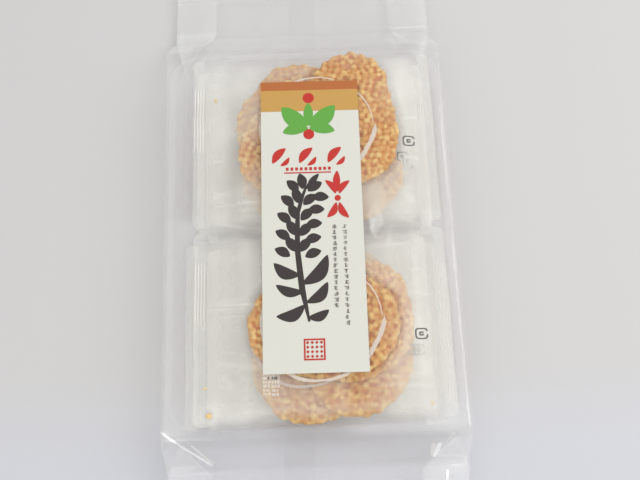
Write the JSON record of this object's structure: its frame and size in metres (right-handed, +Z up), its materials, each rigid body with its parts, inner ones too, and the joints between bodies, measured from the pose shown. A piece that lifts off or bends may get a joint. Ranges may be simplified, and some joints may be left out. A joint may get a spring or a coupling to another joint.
{
  "type": "rice cracker pack",
  "caption": "Clear side-gusset bag of puffed rice crackers in wrapped pairs on a shallow tray, lying on its back with a long paper strip label on its face.",
  "frame": {"origin": "middle of the bag's outline, on the surface that it lies on", "axes": "+Z up out of the labelled face, +Y along the bag towards the label's head, +X to the label's right"},
  "size_m": [0.16, 0.34, 0.0375],
  "materials": {
    "bag_film": "thin clear film, glossy, slightly hazy where it lies in several layers",
    "label_paper": "smooth white paper with printed fields of colour",
    "tray_plastic": "clear thermoformed sheet with ribbed walls",
    "packet_film": "clear crimped packet film with white brush-stroke rings",
    "cracker": "toasted puffed rice grains stuck together, pale tops and darker hollows, slight glaze",
    "print_ink": "flat printing ink"
  },
  "bodies": {
    "root": {"bag": "bag_film", "label": "label_paper"}
  },
  "joints": []
}
